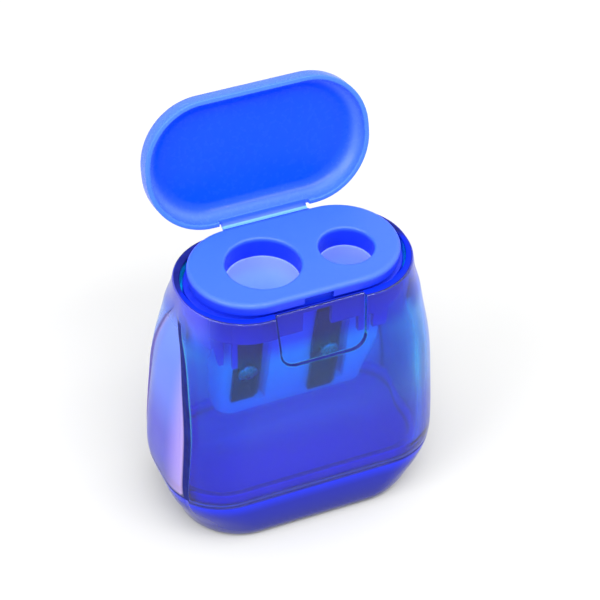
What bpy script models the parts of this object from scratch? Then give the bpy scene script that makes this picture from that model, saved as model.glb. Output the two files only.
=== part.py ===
"""Two-hole pencil sharpener: a see-through shavings container, a lift-out sharpening head and a hinged lid.

Origin: centre of the container's flat base. X runs along the long side, -Y is the front, +Z is up.
The lid stands open. Lengths below are in millimetres and are turned into metres where meshes are made.
"""

import math

import bmesh
import bpy
from mathutils import Matrix, Vector

MM = 0.001
GAP = 0.3  # clearance kept between neighbouring pieces
OUTSIDE = 16.0  # further from the middle than the front or back of anything
BEYOND = 2.0  # how far a cutter runs past what it cuts

# Container outside: height, half length, half depth. Smooth curves run through these stations.
BODY_STATIONS = (
    (0.0, 17.9, 10.3),
    (1.2, 18.2, 11.1),
    (3.0, 19.0, 11.6),
    (6.0, 20.4, 11.9),
    (9.5, 21.2, 11.9),
    (14.0, 21.2, 11.9),
    (20.0, 20.7, 12.0),
    (28.0, 19.7, 12.2),
    (35.0, 18.5, 11.5),
    (41.8, 17.8, 10.2),
)
RIM_Z = 41.8
SEAM_Z = 8.4  # the shell meets the base dish here
WALL = 1.35
RIM_END_WALL = 0.9
FRONT_WALL = 1.45
FLOOR = 1.6
LIP_TOP_Z = 10.1
LIP_WALL = 0.9
BASE_LEVELS = (0.0, 0.4, 0.8, 1.3, 2.0, 3.0, 4.5, 6.0, 7.2, SEAM_Z)
DISH_ROUNDING = ((LIP_TOP_Z, 0.0), (SEAM_Z, 0.0), (6.0, 0.0), (4.0, 0.1), (2.6, 0.4), (FLOOR, 1.2))
CORNER_BASE = 9.2
CORNER_RIM = 9.8

# Side grip panels: sunk areas on both ends of the container, with a crisp step round them.
PANEL_STEP = 0.45
PANEL_LOW_Z = 3.0
PANEL_FULL_Z = (8.0, 36.0)
PANEL_TOP_Z = 39.8
PANEL_HALF_DEPTH = 8.1
PANEL_SHOULDER_Z = 10.0
LEAST_STEP = 0.03

# Thumb recess in the front of the rim.
RECESS_HALF_TOP = 7.0
RECESS_HALF_LOW = 6.5
RECESS_LOW_Z = 33.5
RECESS_CORNER = 2.2
RECESS_DEPTH = 0.75

# Head: platform, ledge and skirt in one moulding.
PLATFORM_TOP_Z = 44.0
PLATFORM_LOW_Z = 42.1
PLATFORM_HALF = (15.9, 8.85)
PLATFORM_Y = -0.12
PLATFORM_EDGE = 0.7
NECK_HALF = (15.5, 8.1)
PLUG_HALF = (16.5, 8.4)
LEDGE_Z = 41.1
CEILING_Z = 40.7
SKIRT_LOW_Z = 36.7
SKIRT_WALL = 0.85
NOTCH_X = (-2.2, 2.3)
NOTCH_TOP_Z = 43.3
NOTCH_DEPTH = 0.65
SKIRT_NOTCH_Y = -7.0  # the notch cuts the skirt's front from here outwards

# Ribs under the head that locate the block. Their tops run into the ceiling, below the ledge.
RIB_TOP_Z = CEILING_Z + 0.25
RIGHT_OUTER_RIB = ((9.1, -7.7, 33.5), (11.4, -6.95, RIB_TOP_Z))
RIGHT_INNER_RIB = ((6.8, -7.95, 33.4), (8.3, -7.1, RIB_TOP_Z))
LEFT_RIB = ((-12.35, -7.25, 32.2), (-11.6, -6.7, RIB_TOP_Z))
GUSSET_X = (-14.9, -13.5, -12.85)  # outer side at the skirt, outer side at the tip, inner side
GUSSET_Y = (-5.1, -4.2)
GUSSET_Z = (31.4, 36.5)
END_RIB_HALF = (1.6, 0.45)
END_RIB_LOW_Z = 34.2
END_RIB_PLACE = (-14.95, -3.2)
END_RIB_TURN = -62.0  # degrees, along the skirt's round end

# Pencil holes: x, y and radius. Both cones touch the blades' plane, so the small one lies further forward.
LARGE_HOLE = (-4.94, -0.42, 5.5)
SMALL_HOLE = (7.64, -1.27, 4.05)
HOLE_EDGE = 0.25

# Lid, described closed and then turned open about the hinge axis.
HINGE_Y, HINGE_Z = 10.55, 42.33
LID_OPEN_DEG = 104.5
LID_RIM_Z = 42.1
LID_TOP_Z = 45.9
LID_FLOOR_Z = 44.9
LID_HALF = (17.4, 10.05)
LID_CORNER = 9.5
LID_WALL = 0.75
LID_OUTER_ROUND = 1.9
LID_STRAIGHT = 0.45
LID_FLOOR_HALF = (14.0, 7.0)
HINGE_HALF_LENGTH = 6.8
TAB_Z = (42.13, 42.55)
TAB_END_Y = 10.1
FILM = 0.3

# Sharpener block: a double wedge. Its front leans back towards the bottom.
BLOCK_X = (-12.7, 12.8)
BLOCK_Z = (18.6, 40.4)
BLOCK_FRONT_TOP_Y = -6.4
BLOCK_BACK_TOP_Y = 5.3
BLOCK_BACK_LOW_Y = 3.6
BLOCK_LEAN = 0.17  # mm of y for each mm of z
BLOCK_CORNER = 2.6
BLOCK_RIGHT_LOW_X = 10.9
BLOCK_RIGHT_SHOULDER_Z = 28.0
BORE_UNDERSIZE = 0.2
CONE_TOP_Z = 38.4
CONE_TIP_Z = 19.4
CONE_TIP_R = 0.9
SLOT_WIDTH = 2.3
SLOT_Z = (20.6, 37.6)

BLADE_THICK = 0.6
BLADE_TOP_Z = 38.0
GROUND_EDGE = 0.9  # width of the blade's ground edge
LARGE_BLADE = {"x": (-11.3, -6.95), "low_z": 22.5}
SMALL_BLADE = {"x": (1.0, 5.5), "low_z": 20.5}
LARGE_SCREW = (-9.4, 29.1)
SMALL_SCREW = (3.45, 28.8)
SCREW_HEAD_R = 1.45
SCREW_HEAD_H = 0.75
SCREW_SHANK_R = 0.75
SCREW_HOLE_R = 1.05
SCREW_DEPTH = 2.4
SCREW_SLOT = (0.45, 0.35)  # width and depth
SCREW_SLOT_TURN = 25.0  # degrees
SEAT_GAP = 0.12

ARC_STEPS = 8
PANEL_STEPS = 8

SHELL_BLUE = (0.05, 0.08, 0.75, 1.0)
HEAD_BLUE = (0.07, 0.20, 0.90, 1.0)
LID_BLUE = (0.01, 0.08, 0.90, 1.0)
BLOCK_GREY = (0.72, 0.75, 0.80, 1.0)
STEEL = (0.30, 0.31, 0.33, 1.0)
SCREW_STEEL = (0.55, 0.56, 0.58, 1.0)


# ---------------------------------------------------------------- scene and mesh helpers


def clear_scene():
    for obj in list(bpy.data.objects):
        bpy.data.objects.remove(obj, do_unlink=True)


def make_material(name, colour, roughness, metallic=0.0):
    material = bpy.data.materials.new(name)
    material.use_nodes = True
    shader = material.node_tree.nodes["Principled BSDF"]
    shader.inputs["Base Color"].default_value = colour
    shader.inputs["Roughness"].default_value = roughness
    shader.inputs["Metallic"].default_value = metallic
    material.diffuse_color = colour
    return material


def add_object(name, mesh_maker, material=None):
    """A new object from a bmesh whose coordinates are in millimetres."""
    bmesh.ops.recalc_face_normals(mesh_maker, faces=mesh_maker.faces)
    bmesh.ops.triangulate(mesh_maker, faces=mesh_maker.faces)
    bmesh.ops.scale(mesh_maker, vec=(MM, MM, MM), verts=mesh_maker.verts)
    mesh = bpy.data.meshes.new(name)
    mesh_maker.to_mesh(mesh)
    mesh_maker.free()
    mesh.shade_smooth()
    mesh.set_sharp_from_angle(angle=math.radians(35))
    obj = bpy.data.objects.new(name, mesh)
    bpy.context.scene.collection.objects.link(obj)
    if material:
        mesh.materials.append(material)
    return obj


def as_cutter(obj):
    obj.hide_render = True
    obj.display_type = "WIRE"
    return obj


def combine(target, other, operation):
    modifier = target.modifiers.new(other.name, "BOOLEAN")
    modifier.operation = operation
    modifier.solver = "EXACT"
    modifier.object = as_cutter(other)


def add_ring(mesh_maker, points):
    return [mesh_maker.verts.new(point) for point in points]


def bridge(mesh_maker, ring, next_ring):
    count = len(ring)
    for i in range(count):
        j = (i + 1) % count
        mesh_maker.faces.new((ring[i], ring[j], next_ring[j], next_ring[i]))


def loft(name, rings, material=None):
    """A closed solid through rings of points, with a cap on the first ring and on the last."""
    mesh_maker = bmesh.new()
    made = [add_ring(mesh_maker, points) for points in rings]
    for ring, next_ring in zip(made, made[1:]):
        bridge(mesh_maker, ring, next_ring)
    mesh_maker.faces.new(made[0])
    mesh_maker.faces.new(made[-1])
    return add_object(name, mesh_maker, material)


def tube_loft(name, rings, material=None):
    """A closed solid whose last ring joins its first, so that it is open right through."""
    mesh_maker = bmesh.new()
    made = [add_ring(mesh_maker, points) for points in rings]
    for ring, next_ring in zip(made, made[1:] + made[:1]):
        bridge(mesh_maker, ring, next_ring)
    return add_object(name, mesh_maker, material)


def box(name, low, high, material=None):
    mesh_maker = bmesh.new()
    bmesh.ops.create_cube(mesh_maker, size=1.0)
    size = [b - a for a, b in zip(low, high)]
    middle = [(a + b) / 2 for a, b in zip(low, high)]
    bmesh.ops.scale(mesh_maker, vec=size, verts=mesh_maker.verts)
    bmesh.ops.translate(mesh_maker, vec=middle, verts=mesh_maker.verts)
    return add_object(name, mesh_maker, material)


def turned(name, profile, x, y, segments=40, material=None):
    """A solid turned about a vertical axis at x, y from (radius, z) points, bottom to top."""
    rings = []
    for radius, z in profile:
        ring = []
        for i in range(segments):
            angle = 2 * math.pi * i / segments
            ring.append((x + radius * math.cos(angle), y + radius * math.sin(angle), z))
        rings.append(ring)
    return loft(name, rings, material)


def prism(name, outline, axis, low, high, material=None):
    """An outline of (u, v) points extruded along X (u, v are y, z) or along Y (u, v are x, z)."""
    rings = []
    for along in (low, high):
        if axis == "X":
            rings.append([(along, u, v) for u, v in outline])
        else:
            rings.append([(u, along, v) for u, v in outline])
    return loft(name, rings, material)


# ---------------------------------------------------------------- outlines


def smooth_step(value, low, high):
    share = min(max((value - low) / (high - low), 0.0), 1.0)
    return share * share * (3 - 2 * share)


def station_value(z, column):
    """The body's half length (column 1) or half depth (column 2) at height z, by Hermite curves."""
    stations = BODY_STATIONS
    last = len(stations) - 2
    i = min(max(sum(1 for s in stations if s[0] <= z) - 1, 0), last)

    def slope(k):
        before = stations[max(k - 1, 0)]
        after = stations[min(k + 1, last + 1)]
        return (after[column] - before[column]) / (after[0] - before[0])

    low, high = stations[i], stations[i + 1]
    span = high[0] - low[0]
    t = (z - low[0]) / span
    start, end = low[column], high[column]
    bend = (2 * t**3 - 3 * t**2 + 1) * start + (3 * t**2 - 2 * t**3) * end
    return bend + span * ((t**3 - 2 * t**2 + t) * slope(i) + (t**3 - t**2) * slope(i + 1))


def corner_radius(z):
    return CORNER_BASE + (CORNER_RIM - CORNER_BASE) * z / RIM_Z


def panel_step(z):
    """How far the grip panel lies below the surface round it."""
    rise = smooth_step(z, PANEL_LOW_Z, PANEL_FULL_Z[0])
    fall = 1 - smooth_step(z, PANEL_FULL_Z[1], PANEL_TOP_Z)
    return max(PANEL_STEP * rise * fall, LEAST_STEP)


def panel_edge(z):
    """Half depth of the grip panel: full low down, closing in an arch towards the rim."""
    share = min(max((z - PANEL_SHOULDER_Z) / (PANEL_TOP_Z - PANEL_SHOULDER_Z), 0.0), 0.999)
    return max(PANEL_HALF_DEPTH * (1 - share**2.9), 0.4)


def outline_x(y, half_length, half_depth, corner):
    """The x of a rounded rectangle's right side at y."""
    over = max(abs(y) - (half_depth - corner), 0.0)
    return half_length - corner + math.sqrt(max(corner**2 - over**2, 0.0))


def right_end(half_length, half_depth, corner, step, edge):
    """Points of the outline's right end, front to back, with the sunk panel between its two steps."""
    main = half_length + step
    flat = half_depth - corner
    edge_angle = math.asin(min(max((edge - flat) / corner, 0.0), 0.95))
    arc = []
    for i in range(ARC_STEPS + 1):
        angle = math.pi / 2 + (edge_angle - math.pi / 2) * i / ARC_STEPS
        y = -(flat + corner * math.sin(angle))
        arc.append((main - corner + corner * math.cos(angle), y))
    edge_y = abs(arc[-1][1])
    panel = []
    for i in range(PANEL_STEPS + 1):
        y = edge_y * (2 * i / PANEL_STEPS - 1)
        panel.append((outline_x(y, half_length, half_depth, corner), y))
    return arc + panel + [(x, -y) for x, y in reversed(arc)]


def body_ring(z, inset_x=0.0, inset_y=0.0, with_panel=True):
    """The container's outline at height z, drawn in by the insets."""
    half_length = station_value(z, 1) - inset_x
    half_depth = station_value(z, 2) - inset_y
    if with_panel:
        step, edge, corner = panel_step(z), panel_edge(z), corner_radius(z)
    else:
        step, edge, corner = LEAST_STEP, panel_edge(z) * 0.85, corner_radius(z) - inset_x
    corner = min(corner, half_depth - 0.05)
    end = right_end(half_length, half_depth, corner, step, edge)
    ring = [(x, y, z) for x, y in end]
    return ring + [(-x, -y, z) for x, y in end]


def stadium_ring(half_length, half_depth, z, corner=None, centre_y=0.0, steps=10):
    """A rounded rectangle's points at height z. With no corner given, its ends are half circles."""
    corner = min(corner or half_depth, half_depth) - 0.001
    ring = []
    for quarter in range(4):
        cx = (half_length - corner) * (1 if quarter in (0, 3) else -1)
        cy = (half_depth - corner) * (1 if quarter in (0, 1) else -1)
        for i in range(steps + 1):
            angle = math.pi / 2 * (quarter + i / steps)
            x = cx + corner * math.cos(angle)
            y = centre_y + cy + corner * math.sin(angle)
            ring.append((x, y, z))
    return ring


def block_front_y(z):
    return BLOCK_FRONT_TOP_Y + (BLOCK_Z[1] - z) * BLOCK_LEAN


# ---------------------------------------------------------------- container


def heights(low, high, count):
    return [low + (high - low) * i / (count - 1) for i in range(count)]


def inner_inset(z):
    """Wall thickness at the ends and at the front and back, thinner at the ends near the rim."""
    ends = WALL + (RIM_END_WALL - WALL) * smooth_step(z, 36.0, RIM_Z)
    return ends, FRONT_WALL


def recess_cutter():
    """The thumb recess: a U outline pushed into the front by a constant depth."""
    above = RIM_Z + BEYOND
    outline = [(-RECESS_HALF_TOP, above)]
    for side in (-1, 1):
        arc = []
        for i in range(9):
            angle = math.pi / 2 * i / 8
            x = RECESS_HALF_LOW - RECESS_CORNER + RECESS_CORNER * math.cos(angle)
            z = RECESS_LOW_Z + RECESS_CORNER - RECESS_CORNER * math.sin(angle)
            arc.append((side * x, z))
        outline += arc if side < 0 else arc[::-1]
    outline.append((RECESS_HALF_TOP, above))
    cutter = prism("recess_outline", outline, "Y", -OUTSIDE, -OUTSIDE / 2)
    below = RECESS_LOW_Z - BEYOND
    skin = [(-station_value(z, 2) + RECESS_DEPTH, z) for z in heights(below, RIM_Z, 14)]
    skin.append((skin[-1][0] + GAP, above + 1))
    skin += [(-OUTSIDE + 1, above + 1), (-OUTSIDE + 1, below)]
    wide = RECESS_HALF_TOP + BEYOND
    combine(cutter, prism("recess_depth", skin, "X", -wide, wide), "INTERSECT")
    return cutter


def build_shell(material):
    levels = heights(SEAM_Z + GAP, 36.0, 14) + heights(37.5, RIM_Z, 5)
    rings = [body_ring(z) for z in levels]
    rings += [body_ring(z, *inner_inset(z), with_panel=False) for z in reversed(levels)]
    shell = tube_loft("container_shell", rings, material)
    combine(shell, recess_cutter(), "DIFFERENCE")
    return shell


def build_base(material):
    """A shallow dish whose lip plugs up inside the shell."""
    lip_inset = WALL + GAP
    front = FRONT_WALL + GAP
    rings = [body_ring(z) for z in BASE_LEVELS]
    rings += [body_ring(z, lip_inset, front, False) for z in (SEAM_Z, LIP_TOP_Z)]
    for z, extra in DISH_ROUNDING:
        inset = LIP_WALL + extra
        rings.append(body_ring(z, lip_inset + inset, front + inset, False))
    return loft("container_base", rings, material)


# ---------------------------------------------------------------- head


def platform_rings():
    rings = [stadium_ring(*PLATFORM_HALF, PLATFORM_LOW_Z, centre_y=PLATFORM_Y)]
    for i in range(6):
        angle = math.pi / 2 * i / 5
        inset = PLATFORM_EDGE * (1 - math.cos(angle))
        z = PLATFORM_TOP_Z - PLATFORM_EDGE * (1 - math.sin(angle))
        half = [size - inset for size in PLATFORM_HALF]
        rings.append(stadium_ring(*half, z, centre_y=PLATFORM_Y))
    return rings


def head_blank(material):
    """Skirt, ledge, neck and platform as one lofted shell, open underneath."""
    inner = [size - SKIRT_WALL for size in PLUG_HALF]
    rings = [stadium_ring(*inner, z) for z in (CEILING_Z, SKIRT_LOW_Z)]
    rings += [stadium_ring(*PLUG_HALF, z) for z in (SKIRT_LOW_Z, LEDGE_Z)]
    rings += [stadium_ring(*NECK_HALF, z) for z in (LEDGE_Z, PLATFORM_LOW_Z)]
    rings += platform_rings()
    return loft("head_plate", rings, material)


def pencil_hole(name, x, y, radius):
    edge = HOLE_EDGE
    top = PLATFORM_TOP_Z
    profile = [(radius, CEILING_Z - BEYOND), (radius, top - edge), (radius + edge, top)]
    profile.append((radius + edge, top + BEYOND))
    return turned(name, profile, x, y, segments=48)


def head_ribs():
    """Flat ribs at the right and left front, a tapering gusset at the left and a rib in the left end."""
    tip, shoulder = GUSSET_Z
    outer, outer_tip, inner = GUSSET_X
    gusset = ((outer, RIB_TOP_Z), (outer, shoulder), (outer_tip, tip), (inner, tip), (inner, RIB_TOP_Z))
    half_length, half_width = END_RIB_HALF
    low = (-half_length, -half_width, END_RIB_LOW_Z)
    end_rib = box("rib_left_end", low, (half_length, half_width, RIB_TOP_Z))
    place = Matrix.Translation(Vector((*END_RIB_PLACE, 0.0)) * MM)
    end_rib.data.transform(place @ Matrix.Rotation(math.radians(END_RIB_TURN), 4, "Z"))
    return [
        box("rib_right_outer", *RIGHT_OUTER_RIB),
        box("rib_right_inner", *RIGHT_INNER_RIB),
        box("rib_left_front", *LEFT_RIB),
        prism("rib_left_gusset", gusset, "Y", *GUSSET_Y),
        end_rib,
    ]


def build_head(material):
    head = head_blank(material)
    tab_low = (-HINGE_HALF_LENGTH, 7.6, TAB_Z[0])
    combine(head, box("hinge_tab", tab_low, (HINGE_HALF_LENGTH, TAB_END_Y, TAB_Z[1])), "UNION")
    for rib in head_ribs():
        combine(head, rib, "UNION")
    combine(head, pencil_hole("large_hole", *LARGE_HOLE), "DIFFERENCE")
    combine(head, pencil_hole("small_hole", *SMALL_HOLE), "DIFFERENCE")
    front = PLATFORM_Y - PLATFORM_HALF[1] + NOTCH_DEPTH
    left, right = NOTCH_X
    upper = box("notch_upper", (left, -OUTSIDE, LEDGE_Z - 2), (right, front, NOTCH_TOP_Z))
    lower = box("notch_lower", (left, -OUTSIDE, SKIRT_LOW_Z - 5), (right, SKIRT_NOTCH_Y, CEILING_Z - 0.5))
    combine(head, upper, "DIFFERENCE")
    combine(head, lower, "DIFFERENCE")
    return head


# ---------------------------------------------------------------- lid and hinge


def lid_rings():
    """Outside from the rim up over the rounded top, then inside from the floor down to the rim."""
    inner = []
    wall_half = [size - LID_WALL for size in LID_HALF]
    rise = LID_FLOOR_Z - LID_RIM_Z - LID_STRAIGHT
    for i in range(7):
        angle = math.pi / 2 * i / 6
        half = [w - (w - f) * (1 - math.cos(angle)) for w, f in zip(wall_half, LID_FLOOR_HALF)]
        z = LID_RIM_Z + LID_STRAIGHT + rise * math.sin(angle)
        corner = min(LID_CORNER - LID_WALL, half[1])
        inner.append(stadium_ring(*half, z, corner=corner))
    inner.reverse()
    inner.append(stadium_ring(*wall_half, LID_RIM_Z, corner=LID_CORNER - LID_WALL))
    outer = [stadium_ring(*LID_HALF, LID_RIM_Z, corner=LID_CORNER)]
    for i in range(7):
        angle = math.pi / 2 * i / 6
        inset = LID_OUTER_ROUND * (1 - math.cos(angle))
        z = LID_TOP_Z - LID_OUTER_ROUND * (1 - math.sin(angle))
        half = [size - inset for size in LID_HALF]
        outer.append(stadium_ring(*half, z, corner=LID_CORNER - inset))
    return inner + outer


def build_lid(material, hinge):
    """The lid with its meshes about the hinge axis, turned open by its parent's rotation."""
    lid = loft("lid", lid_rings(), material)
    clear = HINGE_HALF_LENGTH + GAP
    notch = box("lid_notch", (-clear, 7.4, LID_RIM_Z - 1), (clear, 11.0, TAB_Z[1] + GAP))
    for piece in (lid, notch):
        piece.data.transform(Matrix.Translation(-Vector((0.0, HINGE_Y, HINGE_Z)) * MM))
        piece.parent = hinge
    combine(lid, notch, "DIFFERENCE")
    return lid


def hinge_empty():
    hinge = bpy.data.objects.new("lid_hinge_axis", None)
    bpy.context.scene.collection.objects.link(hinge)
    hinge.location = Vector((0.0, HINGE_Y, HINGE_Z)) * MM
    hinge.rotation_euler = (-math.radians(LID_OPEN_DEG), 0.0, 0.0)
    return hinge


def build_hinge_film(material):
    half = FILM / 2
    low = (-HINGE_HALF_LENGTH + 0.3, HINGE_Y - half, HINGE_Z - half)
    high = (HINGE_HALF_LENGTH - 0.3, HINGE_Y + half, HINGE_Z + half)
    return box("living_hinge", low, high, material)


# ---------------------------------------------------------------- sharpener block, blades and screws


def block_ring(z):
    """The block's outline at height z: a rectangle with rounded upright corners."""
    share = smooth_step(z, BLOCK_Z[0], BLOCK_RIGHT_SHOULDER_Z)
    left = BLOCK_X[0]
    right = BLOCK_RIGHT_LOW_X + (BLOCK_X[1] - BLOCK_RIGHT_LOW_X) * share
    front = block_front_y(z)
    up = (z - BLOCK_Z[0]) / (BLOCK_Z[1] - BLOCK_Z[0])
    back = BLOCK_BACK_LOW_Y + (BLOCK_BACK_TOP_Y - BLOCK_BACK_LOW_Y) * up
    ring = stadium_ring(
        (right - left) / 2, (back - front) / 2, z, BLOCK_CORNER, (back + front) / 2, steps=5
    )
    middle = (left + right) / 2
    return [(x + middle, y, z) for x, y, z in ring]


def cone_cutter(name, x, y, radius):
    bore = radius - BORE_UNDERSIZE
    profile = [(CONE_TIP_R, BLOCK_Z[0] - BEYOND), (CONE_TIP_R, CONE_TIP_Z), (bore, CONE_TOP_Z)]
    profile.append((bore, BLOCK_Z[1] + BEYOND))
    return turned(name, profile, x, y)


def on_block_front(x, z):
    """The frame of the block's front face at x, z: its third axis points out of the face."""
    lean = math.atan(BLOCK_LEAN)
    turn = Matrix.Rotation(math.pi / 2 + lean, 4, "X")
    return Matrix.Translation(Vector((x, block_front_y(z), z)) * MM) @ turn


def build_block(material):
    block = loft("sharpener_block", [block_ring(z) for z in heights(*BLOCK_Z, 9)], material)
    for name, hole in (("large", LARGE_HOLE), ("small", SMALL_HOLE)):
        combine(block, cone_cutter(name + "_cone", *hole), "DIFFERENCE")
    for name, blade, hole in (("large", LARGE_BLADE, LARGE_HOLE), ("small", SMALL_BLADE, SMALL_HOLE)):
        edge = blade["x"][1]
        slot = box(name + "_slot", (edge, -OUTSIDE, SLOT_Z[0]), (edge + SLOT_WIDTH, hole[1], SLOT_Z[1]))
        combine(block, slot, "DIFFERENCE")
    for name, place in (("large", LARGE_SCREW), ("small", SMALL_SCREW)):
        hole = turned(name + "_screw_hole", [(SCREW_HOLE_R, -SCREW_DEPTH), (SCREW_HOLE_R, BEYOND)], 0, 0, 20)
        hole.matrix_world = on_block_front(*place)
        combine(block, hole, "DIFFERENCE")
    return block


def build_blade(name, blade, screw, material):
    """A flat blade on the block's front, with a ground edge on its right side and a screw hole."""
    left, right = blade["x"]
    lean = math.cos(math.atan(BLOCK_LEAN))
    low = (blade["low_z"] - screw[1]) / lean
    high = (BLADE_TOP_Z - screw[1]) / lean
    base = SEAT_GAP
    top = SEAT_GAP + BLADE_THICK
    section = ((left - screw[0], base), (right - screw[0], base), (right - screw[0] - GROUND_EDGE, top))
    section += ((left - screw[0], top),)
    obj = loft(name, [[(x, y, z) for x, z in section] for y in (low, high)], material)
    hole = turned(name + "_hole", [(SCREW_HOLE_R, -BEYOND), (SCREW_HOLE_R, BEYOND)], 0, 0, 24)
    for piece in (obj, hole):
        piece.matrix_world = on_block_front(*screw)
    combine(obj, hole, "DIFFERENCE")
    return obj


def build_screw(name, place, material):
    """A slotted pan-head screw that holds a blade."""
    seat = SEAT_GAP + BLADE_THICK + SEAT_GAP
    profile = [(SCREW_SHANK_R * 0.7, -SCREW_DEPTH + GAP), (SCREW_SHANK_R, -SCREW_DEPTH + GAP + 0.4)]
    profile += [(SCREW_SHANK_R, seat), (SCREW_HEAD_R, seat), (SCREW_HEAD_R, seat + SCREW_HEAD_H * 0.5)]
    profile += [(SCREW_HEAD_R * 0.85, seat + SCREW_HEAD_H * 0.85), (SCREW_HEAD_R * 0.45, seat + SCREW_HEAD_H)]
    screw = turned(name, profile, 0, 0, 24, material)
    width, depth = SCREW_SLOT
    top = seat + SCREW_HEAD_H
    slot = box(name + "_slot", (-BEYOND, -width / 2, top - depth), (BEYOND, width / 2, top + BEYOND))
    slot.data.transform(Matrix.Rotation(math.radians(SCREW_SLOT_TURN), 4, "Z"))
    for piece in (screw, slot):
        piece.matrix_world = on_block_front(*place)
    combine(screw, slot, "DIFFERENCE")
    return screw


# ---------------------------------------------------------------- the whole object


def main():
    clear_scene()
    shell = make_material("container_blue", SHELL_BLUE, 0.1)
    build_shell(shell)
    build_base(make_material("base_blue", SHELL_BLUE, 0.15))
    head = make_material("head_blue", HEAD_BLUE, 0.35)
    build_head(head)
    build_hinge_film(head)
    build_lid(make_material("lid_blue", LID_BLUE, 0.35), hinge_empty())
    build_block(make_material("block_grey", BLOCK_GREY, 0.4))
    blade_steel = make_material("blade_steel", STEEL, 0.3, 1.0)
    build_blade("large_blade", LARGE_BLADE, LARGE_SCREW, blade_steel)
    build_blade("small_blade", SMALL_BLADE, SMALL_SCREW, blade_steel)
    screw_steel = make_material("screw_steel", SCREW_STEEL, 0.3, 1.0)
    build_screw("large_blade_screw", LARGE_SCREW, screw_steel)
    build_screw("small_blade_screw", SMALL_SCREW, screw_steel)


main()
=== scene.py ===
"""Looks of the two-hole pencil sharpener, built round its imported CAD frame.

Lengths below are in millimetres in the CAD frame and are turned into metres where meshes are made.
Every moulding is rebuilt here with rounded edges and fine curves, and stands for its CAD node.
"""

import math

import bmesh
import bpy
from mathutils import Matrix, Vector


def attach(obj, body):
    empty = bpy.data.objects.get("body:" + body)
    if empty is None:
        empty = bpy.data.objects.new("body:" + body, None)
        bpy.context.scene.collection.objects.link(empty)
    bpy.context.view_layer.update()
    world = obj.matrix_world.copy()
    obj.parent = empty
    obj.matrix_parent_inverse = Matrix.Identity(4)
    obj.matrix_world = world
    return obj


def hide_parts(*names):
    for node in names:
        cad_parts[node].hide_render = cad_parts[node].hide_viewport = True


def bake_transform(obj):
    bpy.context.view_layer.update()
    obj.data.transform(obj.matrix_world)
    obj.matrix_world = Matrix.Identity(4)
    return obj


MM = 0.001
OUTSIDE = 16.0  # further from the middle than the front or back of anything
BEYOND = 2.0  # how far a cutter runs past what it cuts
TUCK = 0.012  # how far the container's skin lies inside the CAD's, which is coarser
CLEAR = 0.3  # between the lid and the hinge's tab, and partly between the base's lip and the shell
SMALL_ROUND = 0.2  # radius of the edges that are only just rounded

# Container outside: height, half length and half depth. Smooth curves run through these stations.
BODY_STATIONS = (
    (0.0, 17.9, 10.3),
    (1.2, 18.2, 11.1),
    (3.0, 19.0, 11.6),
    (6.0, 20.4, 11.9),
    (9.5, 21.2, 11.9),
    (14.0, 21.2, 11.9),
    (20.0, 20.7, 12.0),
    (28.0, 19.7, 12.2),
    (35.0, 18.5, 11.5),
    (41.8, 17.8, 10.2),
)
RIM_Z = 41.8
SEAM_Z = 8.4
SEAM_GAP = 0.08
SHELL_LOW_Z = SEAM_Z + SEAM_GAP
WALL = 1.35
RIM_END_WALL = 0.9
RIM_THINS_Z = 36.0  # where the end walls start to thin towards the rim
FRONT_WALL = 1.45
LIP_WALL = 0.9
LIP_TOP_Z = 10.1
LIP_LINE_END = 17.0  # x at which the painted shade line along the lip has faded out
DISH_FLOOR_Z = 1.6
DISH_CORNER = 2.4
BASE_ROUND = 0.5
CORNER_BASE = 9.2
CORNER_RIM = 9.8
RIM_ROUND = 0.18
RIM_LINE = 0.4  # share of the rim's flat top that carries painted shade all round
RIM_GLOW = (1.5, -1.0)  # y between which the painted shade on the rest of it turns blue towards the front
SEAM_SHADE = 0.25  # height of the painted shade line along the seam
SEAM_ROUND = 0.16

PANEL_STEP = 0.45
PANEL_LOW_Z = 3.0
PANEL_FULL_Z = (8.0, 36.0)
PANEL_TOP_Z = 39.8
PANEL_MATT_Z = (36.0, 39.5)  # where the matt finish of the grips fades out
BLOOM = 0.8  # how matt the skin gets towards the ends
BLOOM_FADE = (3.5, 0.8)  # from the end of the body, where that starts and is full
LINE_TOP_Z = 38.5
HIGHLIGHT_FADE = (2.0, 7.5)  # distances in front of the middle between which the left grip takes on its painted highlight
HIGHLIGHT_BACK_EDGE = 0.6  # how strong the painted highlight is on the step at its back edge
PANEL_HALF_DEPTH = 8.1
PANEL_SHOULDER_Z = 10.0
PANEL_ARCH = 2.9  # power of the curve by which the panel closes in above that
PANEL_TIP = 0.4  # its least half depth
PANEL_SLOPE = 0.14  # width over which the panel's edge drops

RECESS_HALF_TOP = 7.0
RECESS_HALF_LOW = 6.5
RECESS_LOW_Z = 33.5
RECESS_CORNER = 2.2
RECESS_DEPTH = (0.4, 0.75)  # at its lower edge and at the rim
RECESS_SLOPE = 0.18
RECESS_REACH_Y = -5.0  # nothing behind this is pushed in
RECESS_LINE = (0.04, 0.16)  # how far the painted shade line runs past the slope, below and at the left
RECESS_WIDENS = (34.0, 36.5)  # heights between which the left one reaches its width

# Mesh columns: along the painted shade line beside the panel's edge, across the edge, and on to the end's
# middle
LINE_COLUMNS = 3
STEP_COLUMNS = 7
PANEL_COLUMNS = 14
LINE_WIDTH = (0.3, 1.3)  # on the skin, low down and near the top
TRIM_WIDTH = 0.9  # on the grip

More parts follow.
